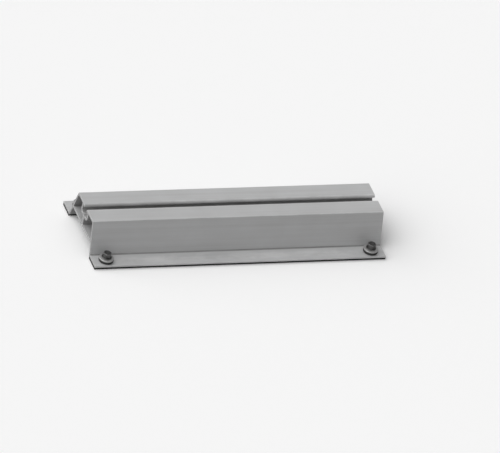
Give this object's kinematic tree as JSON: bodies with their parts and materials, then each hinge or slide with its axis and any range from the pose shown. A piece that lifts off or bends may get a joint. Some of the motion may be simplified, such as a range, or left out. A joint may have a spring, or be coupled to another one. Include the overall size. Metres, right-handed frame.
{
  "type": "solar mini rail",
  "caption": "Short extruded aluminium hat rail with a T-slot on top, screwed through its flanges to a sheet metal roof to carry solar modules, with rubber strips and sealing washers.",
  "frame": {"origin": "middle of the four roof screws, in the plane where the rubber strips meet the roof", "axes": "+X along the rail, +Y across it towards the rear flange, +Z away from the roof; the front flange of the picture is at -Y"},
  "size_m": [0.33, 0.1124, 0.0561],
  "materials": {
    "mill_aluminium": "mill-finished extrusion",
    "strip_rubber": "matte cellular rubber",
    "screw_steel": "cold-formed stainless, dull",
    "washer_steel": "pressed stainless sheet",
    "seal_rubber": "matte vulcanised rubber"
  },
  "bodies": {
    "root": {"rail_profile": "mill_aluminium", "rubber_strip_front": "strip_rubber", "rubber_strip_rear": "strip_rubber", "screw_front_left": "screw_steel", "screw_front_right": "screw_steel", "screw_rear_left": "screw_steel", "screw_rear_right": "screw_steel", "washer_front_left": "washer_steel", "washer_front_right": "washer_steel", "washer_rear_left": "washer_steel", "washer_rear_right": "washer_steel", "seal_front_left": "seal_rubber", "seal_front_right": "seal_rubber", "seal_rear_left": "seal_rubber", "seal_rear_right": "seal_rubber"}
  },
  "joints": []
}
